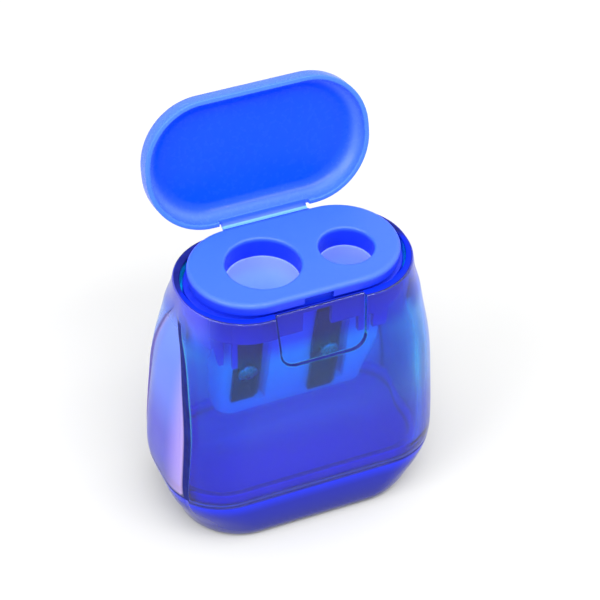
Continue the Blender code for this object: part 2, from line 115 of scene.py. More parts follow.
# Head
PLATFORM_TOP_Z = 44.0
PLATFORM_LOW_Z = 42.1
PLATFORM_HALF = (15.9, 8.85)
PLATFORM_Y = -0.12
PLATFORM_EDGE = 0.7
NECK_HALF = (15.5, 8.1)
PLUG_HALF = (16.5, 8.4)
LEDGE_Z = 41.1
CEILING_Z = 40.7
SKIRT_LOW_Z = 36.7
SKIRT_WALL = 0.85
SKIRT_BEVEL = (0.12, 0.15)  # across and up, at its lower edge
NOTCH_X = (-2.2, 2.3)
NOTCH_TOP_Z = 43.3
NOTCH_DEPTH = 0.65
SKIRT_NOTCH_Y = -7.0
RIB_TOP_Z = CEILING_Z + 0.25
# Pencil holes: x, y and radius. Both cones touch the blades' plane, so the small one lies further forward.
HOLES = {"large": (-4.94, -0.42, 5.5), "small": (7.64, -1.27, 4.05)}
HOLE_EDGE = 0.35

# Ribs under the head: the lowest and highest corners of the straight ones
RIBS = {
    "rib_right_outer": ((9.1, -7.7, 33.5), (11.4, -6.95, RIB_TOP_Z)),
    "rib_right_inner": ((6.8, -7.95, 33.4), (8.3, -7.1, RIB_TOP_Z)),
    "rib_left_front": ((-12.35, -7.25, 32.2), (-11.6, -6.7, RIB_TOP_Z)),
}
GUSSET_OUTLINE = ((-14.9, RIB_TOP_Z), (-14.9, 36.5), (-13.5, 31.4), (-12.85, 31.4), (-12.85, RIB_TOP_Z))
GUSSET_Y = (-5.1, -4.2)
END_RIB = ((-1.6, -0.45, 34.2), (1.6, 0.45, RIB_TOP_Z))  # drawn along X about the origin
END_RIB_PLACE = (-14.95, -3.2, 0.0)
END_RIB_TURN_DEG = -62

# Lid, drawn closed and then turned open about the hinge axis
HINGE_Y, HINGE_Z = 10.55, 42.33
LID_OPEN_DEG = 104.5
LID_RIM_Z = 42.1
LID_TOP_Z = 45.9
LID_FLOOR_Z = 44.9
LID_HALF = (17.4, 10.05)
LID_CORNER = 9.5
LID_WALL = 0.75
LID_OUTER_ROUND = 1.9
LID_STRAIGHT = 0.45
LID_FLOOR_HALF = (14.0, 7.0)
LID_DEPTH = (0.0, math.sin(math.radians(LID_OPEN_DEG)), math.cos(math.radians(LID_OPEN_DEG)))
LID_NOTCH_Y = (7.4, 11.0)
HINGE_HALF = 6.8
TAB_Z = (42.13, 42.55)
TAB_START_Y = 7.6
TAB_END_Y = 10.1
# The hinge strip from inside the tab to the lid's wall, thinnest on the axis: y, z and half thickness
HINGE_PATH = (
    (TAB_END_Y - 0.3, HINGE_Z, 0.2),
    (HINGE_Y - 0.15, HINGE_Z, 0.16),
    (HINGE_Y, HINGE_Z, 0.1),
    (HINGE_Y + 0.3, HINGE_Z + 0.16, 0.12),
    (HINGE_Y + 0.62, HINGE_Z + 0.42, 0.16),
    (HINGE_Y + 0.74, HINGE_Z + 0.85, 0.16),
)

# Block, blades and screws
BLOCK_X = (-12.7, 12.8)
BLOCK_Z = (18.6, 40.4)
BLOCK_TOP_Z = 40.65
BLOCK_FRONT_TOP_Y = -6.4
BLOCK_BACK_TOP_Y = 5.3
BLOCK_BACK_LOW_Y = 3.6
BLOCK_LEAN = 0.17
BLOCK_CORNER = 2.6
BLOCK_ROUND = 0.4
BLOCK_RIGHT_LOW_X = 10.9
BLOCK_RIGHT_SHOULDER_Z = 28.0
BORE_UNDERSIZE = 0.2
CONE_TOP_Z = 38.4
CONE_TIP_Z = 19.4
CONE_TIP_R = 0.9
SLOT_WIDTH = 1.4
SLOT_Z = (20.6, 37.6)
BLADE_THICK = 0.6
BLADE_LAND = 0.06  # thickness left at the cutting edge
BLADE_GRIND = 0.9  # width of the ground bevel
BLADE_TOP_Z = 38.0
BLADES = {
    "large": {"x": (-11.3, -6.95), "low_z": 22.5, "screw": (-9.4, 29.1)},
    "small": {"x": (1.0, 5.5), "low_z": 20.5, "screw": (3.45, 28.8)},
}
SCREW_HEAD_R = 1.45
SCREW_HEAD_H = 0.75
SCREW_SHANK_R = 0.75
SCREW_HOLE_R = 1.05
SCREW_DEPTH = 2.4
SCREW_SLOT = (2.0, 0.22, 0.35)  # half length, half width and depth
SCREW_TURN_DEG = 25
SEAT_GAP = 0.12

# Dye colours of the clear plastic at heights in mm: deeper low down, partly as painted shade in the
# container's lower part, and deeper near the rim
SHELL_LEVELS = (
    (8.0, (0.03, 0.08, 0.95)),
    (16.0, (0.03, 0.2, 0.98)),
    (24.0, (0.04, 0.7, 1.0)),
    (35.0, (0.04, 0.7, 1.0)),
    (38.0, (0.05, 0.2, 0.9)),
    (41.5, (0.05, 0.12, 0.85)),
)
INNER_LEVELS = (
    (8.0, (0.03, 0.12, 0.85)),
    (16.0, (0.03, 0.25, 0.93)),
    (24.0, (0.03, 0.52, 1.0)),
    (34.0, (0.03, 0.55, 1.0)),
    (37.5, (0.02, 0.16, 1.0)),
    (41.0, (0.02, 0.05, 0.97)),
)
DYE = ((0.0, 0.92, 0.994), 1500.0)  # what a metre of the plastic lets through, and how dense the dye is
BASE_LEVELS = ((0.0, (0.003, 0.007, 0.2)), (6.0, (0.003, 0.009, 0.28)), (8.4, (0.003, 0.017, 0.6)))
DISH_BLUE = (0.004, 0.015, 0.97)
# Painted shade: the near-black navy of the lines along the steps, the recess's edge, the seam, the lip and
# the rim, and the lighter tone it clouds into
SHADE_NAVY = (0.006, 0.008, 0.09)
SHADE_NAVY_LIGHTER = (0.009, 0.014, 0.14)
RIM_BLUE = (0.002, 0.015, 0.5)
GRIP_LEVELS = (
    (8.0, (0.05, 0.05, 0.6)),
    (16.0, (0.06, 0.06, 0.7)),
    (26.0, (0.12, 0.24, 0.95)),
    (35.0, (0.15, 0.28, 0.98)),
    (41.5, (0.12, 0.12, 0.98)),
)
# The painted highlight on the left grip, a pale lavender
GRIP_HIGHLIGHT = (0.7, 0.5, 0.95)
# The head's colours at heights: pale on its top as painted light, deep on its sides, hole walls and skirt as
# painted shade
HEAD_LIGHT_AND_SHADE_LEVELS = (
    (30.0, (0.005, 0.02, 0.7)),
    (43.1, (0.004, 0.022, 0.5)),
    (43.8, (0.022, 0.078, 0.93)),
    (45.0, (0.022, 0.078, 0.93)),
)
# The lid's run in from the plane of its rim, paler near the rim and over the fillet as a painted highlight,
# and the hinge strip's back from its thin line
LID_HIGHLIGHT_LEVELS = (
    (0.0, (0.035, 0.11, 0.9)),
    (1.8, (0.045, 0.11, 0.95)),
    (2.7, (0.0, 0.042, 0.95)),
    (2.9, (0.0, 0.038, 0.95)),
)
HINGE_LEVELS = (
    (9.8, (0.1, 0.27, 0.9)),
    (10.68, (0.1, 0.27, 0.9)),
    (10.85, (0.01, 0.06, 0.95)),
    (11.5, (0.01, 0.06, 0.95)),
)
# The block's colours at heights: lighter around its middle height as painted light
BLOCK_LIT_MIDDLE_LEVELS = (
    (18.0, (0.36, 0.4, 0.92)),
    (29.0, (0.46, 0.57, 0.97)),
    (36.0, (0.23, 0.4, 0.97)),
    (40.0, (0.2, 0.28, 0.95)),
)

# Dark steel with a blue tint that is painted light: the blue light round it inside the container
BLADE_STEEL_BLUE_LIT = (0.055, 0.045, 0.12)
SCREW_GREY = (0.3, 0.28, 0.32)
FLOOR_GREYS = ((0.38, 0.38, 0.376), (0.395, 0.395, 0.391))

# Camera
CAMERA_TARGET = (3.03, 3.90, 30.87)
CAMERA_AZIMUTH = 24.89  # degrees that the view turns from +Y towards +X
CAMERA_ELEVATION = 41.16
CAMERA_ROLL = 2.045
CAMERA_DISTANCE = 366.0
CAMERA_LENS = 148.8
CAMERA_SENSOR = 36.0

# Light and floor, in metres
LIGHTS = {  # place, width, depth and power
    "key_left": ((-0.45, -0.15, 0.4), 0.3, 0.3, 2.0),
    "top_soft": ((0.0, -0.3, 0.55), 0.5, 0.14, 2.4),
}
LIGHTS_AIM = (0, 0, 0.03)
FLOOR_HALF = 1.5
WORLD_STRENGTH = (1.8, 2.8)  # at the horizon and overhead
WORLD_BACK = 0.4  # share of it that is left behind the object


# ---------------------------------------------------------------- mesh helpers


def mesh_object(name, mesh_maker):
    """A new object from a bmesh whose coordinates are in millimetres."""
    bmesh.ops.recalc_face_normals(mesh_maker, faces=mesh_maker.faces)
    bmesh.ops.scale(mesh_maker, vec=(MM, MM, MM), verts=mesh_maker.verts)
    mesh = bpy.data.meshes.new(name)
    mesh_maker.to_mesh(mesh)
    mesh_maker.free()
    mesh.shade_smooth()
    obj = bpy.data.objects.new(name, mesh)
    bpy.context.scene.collection.objects.link(obj)
    return obj


def loft(name, rings, closed=False, marks=None):
    """A solid through rings of points: capped at both ends, or with the last ring joined to the first.
    marks gives, for each attribute's name, its value from 0 to 1 at point i of ring r."""
    mesh_maker = bmesh.new()
    layers = {key: mesh_maker.verts.layers.float.new(key) for key in marks or {}}
    made = [[mesh_maker.verts.new(point) for point in ring] for ring in rings]
    for key, layer in layers.items():
        for r, ring in enumerate(made):
            for i, vert in enumerate(ring):
                vert[layer] = float(marks[key](r, i))
    pairs = list(zip(made, made[1:]))
    if closed:
        pairs.append((made[-1], made[0]))
    else:
        mesh_maker.faces.new(made[0])
        mesh_maker.faces.new(made[-1])
    count = len(made[0])
    for ring, next_ring in pairs:
        for i in range(count):
            j = (i + 1) % count
            mesh_maker.faces.new((ring[i], ring[j], next_ring[j], next_ring[i]))
    return mesh_object(name, mesh_maker)


def parted(obj, key):
    """Gives the second material to the faces whose points all carry more than half of a mark."""
    values = [point.value > 0.5 for point in obj.data.attributes[key].data]
    for face in obj.data.polygons:
        face.material_index = int(all(values[v] for v in face.vertices))
    return obj


def box(name, low, high):
    mesh_maker = bmesh.new()
    bmesh.ops.create_cube(mesh_maker, size=1.0)
    bmesh.ops.scale(mesh_maker, vec=[b - a for a, b in zip(low, high)], verts=mesh_maker.verts)
    bmesh.ops.translate(mesh_maker, vec=[(a + b) / 2 for a, b in zip(low, high)], verts=mesh_maker.verts)
    return mesh_object(name, mesh_maker)


def turned(name, profile, x=0.0, y=0.0, segments=96):
    """A solid turned about a vertical axis at x, y from (radius, z) points, bottom to top."""
    rings = []
    for radius, z in profile:
        angles = [2 * math.pi * i / segments for i in range(segments)]
        rings.append([(x + radius * math.cos(a), y + radius * math.sin(a), z) for a in angles])
    return loft(name, rings)


def extruded(name, outline, y_low, y_high):
    return loft(name, [[(x, y, z) for x, z in outline] for y in (y_low, y_high)])


def settle(obj, *changes):
    """Applies Booleans, given as (operation, cutter) pairs, and deletes the cutters."""
    for operation, cutter in changes:
        modifier = obj.modifiers.new(cutter.name, "BOOLEAN")
        modifier.operation = operation
        modifier.solver = "EXACT"
        modifier.object = cutter
    bpy.context.view_layer.update()
    mesh = bpy.data.meshes.new_from_object(obj.evaluated_get(bpy.context.evaluated_depsgraph_get()))
    obj.modifiers.clear()
    obj.data = mesh
    for _, cutter in changes:
        bpy.data.objects.remove(cutter, do_unlink=True)
    return obj


def soften(obj, width):
    """Rounds the sharp edges, and keeps flat faces flat in the shading."""
    bevel = obj.modifiers.new("edges", "BEVEL")
    bevel.width = width * MM
    bevel.segments = 2
    bevel.limit_method = "ANGLE"
    bevel.angle_limit = math.radians(40)
    bevel.harden_normals = False
    obj.modifiers.new("normals", "WEIGHTED_NORMAL").keep_sharp = True
    obj.data.shade_smooth()
    return obj


def rounding(radius, steps=5):
    """Pairs (drawn in, short of the edge) along a quarter circle that rounds off an edge."""
    angles = [math.pi / 2 * i / steps for i in range(steps + 1)]
    return [(radius * (1 - math.cos(a)), radius * (1 - math.sin(a))) for a in angles]


def spaced(low, high, count):
    return [low + (high - low) * i / (count - 1) for i in range(count)]


def smooth_step(value, low, high):
    share = min(max((value - low) / (high - low), 0.0), 1.0)
    return share * share * (3 - 2 * share)


# ---------------------------------------------------------------- container


def station_value(z, column):
    """The body's half length (column 1) or half depth (column 2) at height z, by Hermite curves."""
    stations = BODY_STATIONS
    last = len(stations) - 2
    i = min(max(sum(1 for s in stations if s[0] <= z) - 1, 0), last)

    def slope(k):
        before, after = stations[max(k - 1, 0)], stations[min(k + 1, last + 1)]
        return (after[column] - before[column]) / (after[0] - before[0])

    low, high = stations[i], stations[i + 1]
    span = high[0] - low[0]
    t = (z - low[0]) / span
    bend = (2 * t**3 - 3 * t**2 + 1) * low[column] + (3 * t**2 - 2 * t**3) * high[column]
    return bend + span * ((t**3 - 2 * t**2 + t) * slope(i) + (t**3 - t**2) * slope(i + 1))


def panel_step(z):
    rise = smooth_step(z, PANEL_LOW_Z, PANEL_FULL_Z[0])
    return PANEL_STEP * rise * (1 - smooth_step(z, PANEL_FULL_Z[1], PANEL_TOP_Z))


def panel_edge(z):
    """Half depth of the grip panel: full low down, closing in an arch towards the rim."""
    share = min(max((z - PANEL_SHOULDER_Z) / (PANEL_TOP_Z - PANEL_SHOULDER_Z), 0.0), 0.999)
    return max(PANEL_HALF_DEPTH * (1 - share**PANEL_ARCH), PANEL_TIP)


def recess_half(z):
    share = min(max((z - RECESS_LOW_Z) / (RIM_Z - RECESS_LOW_Z), 0.0), 1.0)
    return RECESS_HALF_LOW + (RECESS_HALF_TOP - RECESS_HALF_LOW) * share


def past_recess(x, z):
    """Distance from the thumb recess's outline at x, z: negative within it."""
    across = abs(x) - recess_half(z) + RECESS_CORNER
    down = RECESS_LOW_Z + RECESS_CORNER - z
    outside = math.hypot(max(across, 0.0), max(down, 0.0)) + min(max(across, down), 0.0)
    return outside - RECESS_CORNER


def recess_depth(x, z):
    """How far the thumb recess pushes the front in at x, z, with a steep smooth edge."""
    low, high = RECESS_DEPTH
    depth = low + (high - low) * smooth_step(z, RECESS_LOW_Z, RIM_Z)
    return depth * (1 - smooth_step(past_recess(x, z), -RECESS_SLOPE, 0.0))


def front_shares(fine):
    """Places along the straight front, as shares of the recess's half width: dense at its edge."""
    if not fine:
        return spaced(0.0, 1.0, 7)
    return spaced(0.0, 0.6, 7)[:-1] + spaced(0.6, 1.05, 38)


def quarter_outline(z, inset_x, inset_y, stepped, fine):
    """The outline's front right quarter, from the middle of the front to the middle of the right end."""
    step = panel_step(z) if stepped else 0.0
    half_length = station_value(z, 1) - inset_x - TUCK
    half_depth = station_value(z, 2) - inset_y - TUCK
    corner = CORNER_BASE + (CORNER_RIM - CORNER_BASE) * z / RIM_Z - inset_x
    corner = min(corner, half_depth - 0.02)
    flat = half_depth - corner
    arc_x = half_length + step - corner
    points = [(share * recess_half(z), -half_depth) for share in front_shares(fine)]
    points += [(x, -half_depth) for x in spaced(points[-1][0], arc_x, 5)[1:-1]]
    edge = panel_edge(z)
    edge_angle = math.asin(min(max((edge + PANEL_SLOPE - flat) / corner, 0.0), 0.95))
    line_width = LINE_WIDTH[0] + (LINE_WIDTH[1] - LINE_WIDTH[0]) * smooth_step(z, *PANEL_FULL_Z)
    line_angle = edge_angle + line_width / corner
    angles = spaced(math.pi / 2, line_angle, 24) + spaced(line_angle, edge_angle, LINE_COLUMNS + 1)[1:]
    for angle in angles:
        points.append((arc_x + corner * math.cos(angle), -(flat + corner * math.sin(angle))))
    start_y = -points[-1][1]
    for share in spaced(0.0, 1.0, STEP_COLUMNS + 1)[1:]:
        y = start_y - PANEL_SLOPE * share
        points.append((panel_x(y, half_length, flat, corner) + step * (1 - smooth_step(share, 0, 1)), -y))
    trim_y = start_y - PANEL_SLOPE - min(TRIM_WIDTH, 0.4 * start_y)
    for y in spaced(trim_y, 0.0, PANEL_COLUMNS):
        points.append((panel_x(y, half_length, flat, corner), -y))
    return points


def whole_ring(quarter, front):
    """All round from a quarter: each is a list from the middle of the front to the middle of an end."""
    return list(front) + quarter[-2::-1] + quarter[1:] + front[-2:0:-1]


def column_kinds(count):
    """What each point of a ring lies on, by its place in the quarter: skin, line, step, trim or panel."""
    skin = count - LINE_COLUMNS - STEP_COLUMNS - PANEL_COLUMNS
    quarter = ["skin"] * skin + ["line"] * LINE_COLUMNS + ["step"] * STEP_COLUMNS
    quarter += ["trim"] + ["panel"] * (PANEL_COLUMNS - 1)
    return whole_ring(quarter, quarter)


def panel_x(y, half_length, flat, corner):
    over = max(abs(y) - flat, 0.0)
    return half_length - corner + math.sqrt(max(corner**2 - over**2, 0.0))


def body_ring(z, inset_x=0.0, inset_y=None, stepped=True, fine=False, cut_z=None):
    """The container's whole outline at height z, drawn in by the insets.
    With cut_z, the front has the recess as it is at that height."""
    inset_y = inset_x if inset_y is None else inset_y
    quarter = quarter_outline(z, inset_x, inset_y, stepped, fine)
    front = list(quarter)
    if cut_z is not None:
        front = [(x, y + recess_depth(x, cut_z) * (y < RECESS_REACH_Y)) for x, y in quarter]
    ring = [(x, y, z) for x, y in front]
    ring += [(x, -y, z) for x, y in quarter[-2::-1]]
    ring += [(-x, -y, z) for x, y in quarter[1:]]
    ring += [(-x, y, z) for x, y in front[-2:0:-1]]
    return ring


def inner_inset(z):
    """How far the inner wall lies within the outer one: at the ends, and at the front and back."""
    ends = WALL + (RIM_END_WALL - WALL) * smooth_step(z, RIM_THINS_Z, RIM_Z)
    return ends, FRONT_WALL


def shell_rings():
    """The shell's rings, up the outside and down the inside, and how many of them are outside."""
    low = SHELL_LOW_Z
    rings = []
    for drawn, short in rounding(SEAM_ROUND, 4)[::-1]:
        rings.append(body_ring(low + short, drawn, fine=True, cut_z=low))
    levels = spaced(low + 0.8, RECESS_LOW_Z - 0.5, 34)
    levels += spaced(RECESS_LOW_Z - 0.4, RECESS_LOW_Z + RECESS_CORNER, 34)
    levels += spaced(RECESS_LOW_Z + RECESS_CORNER + 0.5, RIM_Z - RIM_ROUND - 0.15, 12)
    rings += [body_ring(z, fine=True, cut_z=z) for z in levels]
    for drawn, short in rounding(RIM_ROUND):
        rings.append(body_ring(RIM_Z - short, drawn, fine=True, cut_z=RIM_Z))
    outer_count = len(rings)
    ends, front = inner_inset(RIM_Z)
    edge = [RIM_ROUND + RIM_LINE * (inset - 2 * RIM_ROUND) for inset in (ends, front)]
    rings.append(body_ring(RIM_Z, *edge, stepped=False, fine=True, cut_z=RIM_Z))
    for z in [RIM_Z - short for _, short in rounding(RIM_ROUND)[::-1]]:
        ends, front = inner_inset(z)
        drawn = RIM_ROUND - math.sqrt(max(RIM_ROUND**2 - (z - RIM_Z + RIM_ROUND) ** 2, 0.0))
        rings.append(body_ring(z, ends - drawn, front - drawn, stepped=False, fine=True))
    for z in spaced(RIM_Z - RIM_ROUND - 0.6, low + 0.5, 30) + [low + 0.1, low]:
        ends, front = inner_inset(z)
        drawn = 0.1 if z == low else 0.0
        rings.append(body_ring(z, ends - drawn, front - drawn, stepped=False, fine=True))
    return rings, outer_count


def shell_marks(rings, outer_count):
    """Where the shell is inside, matt as on the grips, pale with painted highlight, dark with painted shade,
    or with painted shade turning blue.
    """
    kinds = column_kinds(len(quarter_outline(SHELL_LOW_Z, 0.0, 0.0, True, True)))

    def inside(r, i):
        return r >= outer_count

    def panel(r, i):
        x, y, z = rings[r][i]
        if r >= outer_count:
            return 0.0
        bloom = BLOOM * smooth_step(station_value(z, 1) - abs(x), *BLOOM_FADE)
        if x < 0 and y < 0:
            bloom *= smooth_step(z, *PANEL_MATT_Z)
        if kinds[i] in ("step", "trim", "panel") or (y > 0 and kinds[i] == "line"):
            return max(bloom, 1 - smooth_step(z, *PANEL_MATT_Z))
        return bloom

    # Painted shade: the rim's top, the seam, the line by the left grip's front edge and the thumb recess's
    # edge
    def dark(r, i):
        x, y, z = rings[r][i]
        if r >= outer_count or z > RIM_Z - 0.001:
            return z > RIM_Z - RIM_ROUND
        if y > 0:
            return 0.0
        if z < SHELL_LOW_Z + SEAM_SHADE:
            return 1.0
        if x < 0 and kinds[i] in ("line", "step", "trim") and z < LINE_TOP_Z:
            return 1.0
        if x > 0 and z > RECESS_LOW_Z + RECESS_CORNER:
            return 0.0
        narrow, wide = RECESS_LINE
        width = narrow + (wide - narrow) * (x < 0) * smooth_step(z, *RECESS_WIDENS)
        return abs(past_recess(x, z) + RECESS_SLOPE / 2) < RECESS_SLOPE / 2 + width

    # Painted highlight on the left grip: strongest towards its front edge, fading out towards the rim
    def pale(r, i):
        x, y, z = rings[r][i]
        on_grip = x < 0 and kinds[i] in ("step", "trim", "panel") and z < PANEL_MATT_Z[1]
        share = HIGHLIGHT_BACK_EDGE if y > 0 and kinds[i] == "step" else smooth_step(-y, *HIGHLIGHT_FADE)
        return on_grip * share * (1 - smooth_step(z, *PANEL_MATT_Z))

    def glow(r, i):
        return (r >= outer_count) * smooth_step(rings[r][i][1], *RIM_GLOW)

    return {"inside": inside, "panel": panel, "pale": pale, "dark": dark, "glow": glow}


def make_shell():
    rings, outer_count = shell_rings()
    shell = loft("shell_moulding", rings, closed=True, marks=shell_marks(rings, outer_count))
    return parted(shell, "dark")


def make_base():
    lip_x, lip_y = WALL + CLEAR * 0.4, FRONT_WALL + CLEAR * 0.4
    rings = [body_ring(z, drawn) for drawn, z in rounding(BASE_ROUND)[::-1]]
    rings += [body_ring(z) for z in spaced(0.8, SEAM_Z - SEAM_ROUND - 0.1, 26)]
    rings += [body_ring(SEAM_Z - short, drawn) for drawn, short in rounding(SEAM_ROUND, 4)]
    outer_count = len(rings)
    rings += [body_ring(SEAM_Z, lip_x, lip_y, False)]
    for drawn, short in [(0.0, LIP_TOP_Z - SEAM_Z - 0.4)] + rounding(SMALL_ROUND, 3):
        rings.append(body_ring(LIP_TOP_Z - short, lip_x + drawn, lip_y + drawn, False))
    for drawn, short in rounding(SMALL_ROUND, 3)[::-1]:
        inset = LIP_WALL - drawn
        rings.append(body_ring(LIP_TOP_Z - short, lip_x + inset, lip_y + inset, False))
    for z, extra in dish_profile():
        inset = LIP_WALL + extra
        rings.append(body_ring(z, lip_x + inset, lip_y + inset, False))

    # Painted shade: a line along the lip's top at the front, and one along the seam
    def dark(r, i):
        x, y, z = rings[r][i]
        if z > LIP_TOP_Z - 0.1 and y < 0:
            return 0.5 * smooth_step(LIP_LINE_END - x, 0.0, 4.0)
        return 0.8 * (abs(z - SEAM_Z) < SEAM_SHADE)

    return loft("base_dish", rings, marks={"inside": lambda r, i: r >= outer_count, "dark": dark})


def dish_profile():
    """Pairs (z, drawn in) down the dish's inside: straight, then a round corner into the floor."""
    profile = [(z, 0.0) for z in spaced(LIP_TOP_Z - 0.6, DISH_FLOOR_Z + DISH_CORNER + 0.3, 12)]
    return profile + [(DISH_FLOOR_Z + short, drawn) for drawn, short in rounding(DISH_CORNER, 8)]


# ---------------------------------------------------------------- head


def stadium_ring(half_length, half_depth, z, corner=None, centre_y=0.0, steps=20):
    """A rounded rectangle's points at height z. With no corner given, its ends are half circles."""
    corner = min(corner or half_depth, half_depth) - 0.001
    ring = []
    for quarter in range(4):
        cx = (half_length - corner) * (1 if quarter in (0, 3) else -1)
        cy = (half_depth - corner) * (1 if quarter in (0, 1) else -1)
        for i in range(steps + 1):
            angle = math.pi / 2 * (quarter + i / steps)
            ring.append((cx + corner * math.cos(angle), centre_y + cy + corner * math.sin(angle), z))
    return ring


def grown(half, amount):
    return [size + amount for size in half]


def head_blank():
    """The head's moulding before its holes, notch, ribs and tab: from its ceiling out and up to its top."""
    inner = grown(PLUG_HALF, -SKIRT_WALL)
    across, up = SKIRT_BEVEL
    rings = [stadium_ring(*inner, z) for z in (CEILING_Z, SKIRT_LOW_Z + up)]
    rings.append(stadium_ring(*grown(inner, across), SKIRT_LOW_Z))
    rings.append(stadium_ring(*grown(PLUG_HALF, -across), SKIRT_LOW_Z))
    rings.append(stadium_ring(*PLUG_HALF, SKIRT_LOW_Z + up))
    for drawn, short in rounding(SMALL_ROUND, 3):
        rings.append(stadium_ring(*grown(PLUG_HALF, -drawn), LEDGE_Z - short))
    rings += [stadium_ring(*NECK_HALF, z) for z in (LEDGE_Z, PLATFORM_LOW_Z)]
    for drawn, short in rounding(SMALL_ROUND, 3)[::-1]:
        half = grown(PLATFORM_HALF, -drawn)
        rings.append(stadium_ring(*half, PLATFORM_LOW_Z + short, centre_y=PLATFORM_Y))
    for drawn, short in rounding(PLATFORM_EDGE, 8):
        half = grown(PLATFORM_HALF, -drawn)
        rings.append(stadium_ring(*half, PLATFORM_TOP_Z - short, centre_y=PLATFORM_Y))
    return loft("head_moulding", rings)


def hole_cutter(name, x, y, radius):
    """A pencil hole that opens out round its top edge, by the same curve that rounds an edge off."""
    profile = [(radius, CEILING_Z - BEYOND)]
    profile += [(radius + drawn, PLATFORM_TOP_Z - short) for drawn, short in rounding(HOLE_EDGE, 6)]
    profile.append((radius + HOLE_EDGE, PLATFORM_TOP_Z + BEYOND))
    return turned(name, profile, x, y)


def head_ribs():
    end_rib = box("rib_left_end", *END_RIB)
    turn = Matrix.Rotation(math.radians(END_RIB_TURN_DEG), 4, "Z")
    end_rib.data.transform(Matrix.Translation(Vector(END_RIB_PLACE) * MM) @ turn)
    ribs = [box(name, *corners) for name, corners in RIBS.items()]
    return ribs + [extruded("rib_left_gusset", GUSSET_OUTLINE, *GUSSET_Y), end_rib]


def make_head():
    front = PLATFORM_Y - PLATFORM_HALF[1] + NOTCH_DEPTH
    left, right = NOTCH_X
    tab = box("tab", (-HINGE_HALF, TAB_START_Y, TAB_Z[0]), (HINGE_HALF, TAB_END_Y, TAB_Z[1]))
    changes = [("UNION", tab)] + [("UNION", rib) for rib in head_ribs()]
    changes += [("DIFFERENCE", hole_cutter(name + "_hole", *HOLES[name])) for name in HOLES]
    high = box("notch_high", (left, -OUTSIDE, LEDGE_Z - BEYOND), (right, front, NOTCH_TOP_Z))
    low_z = SKIRT_LOW_Z - BEYOND - RIB_TOP_Z + CEILING_Z
    low = box("notch_low", (left, -OUTSIDE, low_z), (right, SKIRT_NOTCH_Y, CEILING_Z - 0.5))
    changes += [("DIFFERENCE", high), ("DIFFERENCE", low)]
    return soften(settle(head_blank(), *changes), 0.1)


# ---------------------------------------------------------------- lid and hinge


def lid_rings():
    """The lid as if closed: from the middle of its inside out to the rim, and over the outside."""
    wall_half = grown(LID_HALF, -LID_WALL)
    rise = LID_FLOOR_Z - LID_RIM_Z - LID_STRAIGHT
    inner = []
    for i in range(17):
        angle = math.pi / 2 * i / 16
        half = [w - (w - f) * (1 - math.cos(angle)) for w, f in zip(wall_half, LID_FLOOR_HALF)]
        z = LID_RIM_Z + LID_STRAIGHT + rise * math.sin(angle)
        inner.append(stadium_ring(*half, z, corner=min(LID_CORNER - LID_WALL, half[1])))
    inner.reverse()
    corner = LID_CORNER - LID_WALL
    for drawn, short in rounding(SMALL_ROUND, 4):
        inner.append(stadium_ring(*grown(wall_half, drawn), LID_RIM_Z + short, corner=corner + drawn))
    outer = []
    for drawn, short in rounding(SMALL_ROUND, 4)[::-1]:
        half = grown(LID_HALF, -drawn)
        outer.append(stadium_ring(*half, LID_RIM_Z + short, corner=LID_CORNER - drawn))
    for drawn, short in rounding(LID_OUTER_ROUND, 12):
        half = grown(LID_HALF, -drawn)
        outer.append(stadium_ring(*half, LID_TOP_Z - short, corner=LID_CORNER - drawn))
    return inner + outer


def opened(obj):
    """Turns a piece that was drawn with the lid closed, about the hinge axis, to the open lid."""
    axis = Vector((0.0, HINGE_Y, HINGE_Z)) * MM
    turn = Matrix.Rotation(-math.radians(LID_OPEN_DEG), 4, "X")
    obj.data.transform(Matrix.Translation(axis) @ turn @ Matrix.Translation(-axis))
    return obj


def make_lid():
    clear = HINGE_HALF + CLEAR
    start_y, end_y = LID_NOTCH_Y
    notch = box("lid_notch", (-clear, start_y, LID_RIM_Z - 1), (clear, end_y, TAB_Z[1] + CLEAR))
    lid = settle(loft("lid_moulding", lid_rings()), ("DIFFERENCE", notch))
    return opened(soften(lid, 0.08))


def make_hinge():
    """The flexible strip from the head's tab round to the lid's wall, drawn with the lid open."""
    outline = [(y, z + thick) for y, z, thick in HINGE_PATH]
    outline += [(y + thick * 0.4, z - thick) for y, z, thick in reversed(HINGE_PATH)]
    half = HINGE_HALF - 0.1
    rings = [[(x, y, z) for y, z in outline] for x in spaced(-half, half, 12)]
    return soften(loft("hinge_strip", rings), 0.03)


# ---------------------------------------------------------------- block, blades and screws


def block_front_y(z):
    return BLOCK_FRONT_TOP_Y + (BLOCK_Z[1] - z) * BLOCK_LEAN


def block_ring(z):
    share = smooth_step(z, BLOCK_Z[0], BLOCK_RIGHT_SHOULDER_Z)
    left = BLOCK_X[0]
    right = BLOCK_RIGHT_LOW_X + (BLOCK_X[1] - BLOCK_RIGHT_LOW_X) * share
    front = block_front_y(z)
    up = (z - BLOCK_Z[0]) / (BLOCK_Z[1] - BLOCK_Z[0])
    back = BLOCK_BACK_LOW_Y + (BLOCK_BACK_TOP_Y - BLOCK_BACK_LOW_Y) * up
    half = ((right - left) / 2, (back - front) / 2)
    ring = stadium_ring(*half, z, BLOCK_CORNER, (back + front) / 2, steps=8)
    return [(x + (left + right) / 2, y, z) for x, y, z in ring]


def on_block_front(x, z):
    """The frame of the block's front face at x, z: its third axis points out of the face."""
    turn = Matrix.Rotation(math.pi / 2 + math.atan(BLOCK_LEAN), 4, "X")
    return Matrix.Translation(Vector((x, block_front_y(z), z)) * MM) @ turn


def placed(obj, x, z):
    obj.data.transform(on_block_front(x, z))
    return obj


